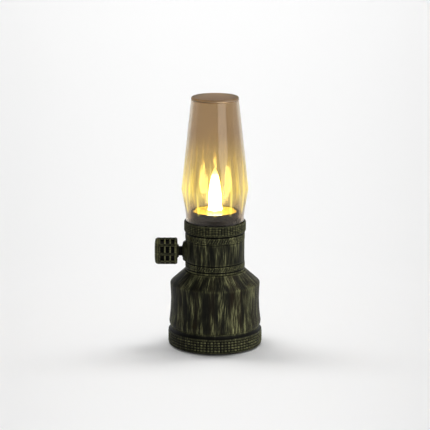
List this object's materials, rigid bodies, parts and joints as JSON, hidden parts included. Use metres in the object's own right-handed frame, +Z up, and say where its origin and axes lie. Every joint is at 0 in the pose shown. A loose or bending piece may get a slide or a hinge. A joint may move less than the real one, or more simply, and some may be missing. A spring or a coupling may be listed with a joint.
{
  "type": "oil lamp",
  "caption": "Small LED lamp shaped like an oil lamp: faceted amber chimney with a closed top over a glowing flame, side dimmer knob, round bronze body that stands on its base.",
  "frame": {"origin": "centre of the foot pad's underside, where the lamp rests", "axes": "+Z up along the lamp's axis, -X along the dimmer knob's shaft away from the neck, +Y out of the charging port"},
  "size_m": [0.0659, 0.058, 0.154],
  "materials": {
    "painted_bronze": "moulded ABS, black-bronze, dry-brushed with olive gold",
    "dark_bronze": "moulded ABS, dark blue-grey",
    "amber_clear": "moulded transparent acrylic, pale amber",
    "warm_diffuser": "moulded light guide, glows warm yellow",
    "gold_plate": "satin",
    "black_silicone": "matt",
    "black_abs": "moulded",
    "green_board": "solder mask over fibreglass board",
    "white_board": "white solder mask",
    "phenolic": "pressed phenolic",
    "zinc_steel": "zinc plated",
    "battery_sleeve": "shrink sleeve over a lithium cell",
    "chip_epoxy": "moulded epoxy",
    "phosphor": "yellow phosphor",
    "wire_red": "PVC insulation",
    "wire_black": "PVC insulation",
    "wire_white": "PVC insulation",
    "grey_foam": "foam tape"
  },
  "bodies": {
    "lamp_body": {"base_ring": "painted_bronze", "battery_cell": "battery_sleeve", "battery_contact_minus": "zinc_steel", "battery_contact_plus": "zinc_steel", "battery_holder": "black_abs", "battery_lead_black": "wire_black", "battery_lead_red": "wire_red", "battery_tape": "grey_foam", "board_screw_1": "zinc_steel", "board_screw_2": "zinc_steel", "bottom_cover": "black_abs", "burner_cup": "dark_bronze", "capacitor": "battery_sleeve", "charger_chip": "chip_epoxy", "charging_socket": "zinc_steel", "chimney_collar": "painted_bronze", "chimney_seal": "black_silicone", "clamp_screw_1": "zinc_steel", "clamp_screw_2": "zinc_steel", "clamp_screw_3": "zinc_steel", "control_chip": "chip_epoxy", "cover_screw_1": "zinc_steel", "cover_screw_2": "zinc_steel", "cover_screw_3": "zinc_steel", "cup_screw_1": "zinc_steel", "cup_screw_2": "zinc_steel", "cup_screw_3": "zinc_steel", "dimmer_bushing": "zinc_steel", "dimmer_case": "zinc_steel", "dimmer_lead_1": "wire_red", "dimmer_lead_2": "wire_white", "dimmer_lead_3": "wire_black", "dimmer_nut": "zinc_steel", "dimmer_switch": "black_abs", "dimmer_wafer": "phenolic", "dimmer_washer": "zinc_steel", "flame_diffuser": "warm_diffuser", "foot_pad": "black_silicone", "inductor": "chip_epoxy", "led_board": "white_board", "led_emitter": "phosphor", "led_lead_black": "wire_black", "led_lead_red": "wire_red", "led_screw_1": "zinc_steel", "led_screw_2": "zinc_steel", "led_screw_3": "zinc_steel", "main_board": "green_board", "neck_clamp_ring": "zinc_steel", "neck_shell": "painted_bronze", "reflector_plate": "gold_plate", "tank_shell": "painted_bronze"},
    "knob": {"dimmer_knob": "painted_bronze", "dimmer_shaft": "zinc_steel", "dimmer_wiper": "phenolic"},
    "chimney": {"chimney": "amber_clear"}
  },
  "joints": [
    {"name": "knob_turn", "type": "hinge", "parent": "lamp_body", "child": "knob", "pos_m": [-0.03, 0, 0.0582], "axis": [1, 0, 0], "range_deg": [-270, 30]},
    {"name": "chimney_lift", "type": "slide", "parent": "lamp_body", "child": "chimney", "axis": [0, 0, 1], "range_m": [0, 0.04]}
  ]
}
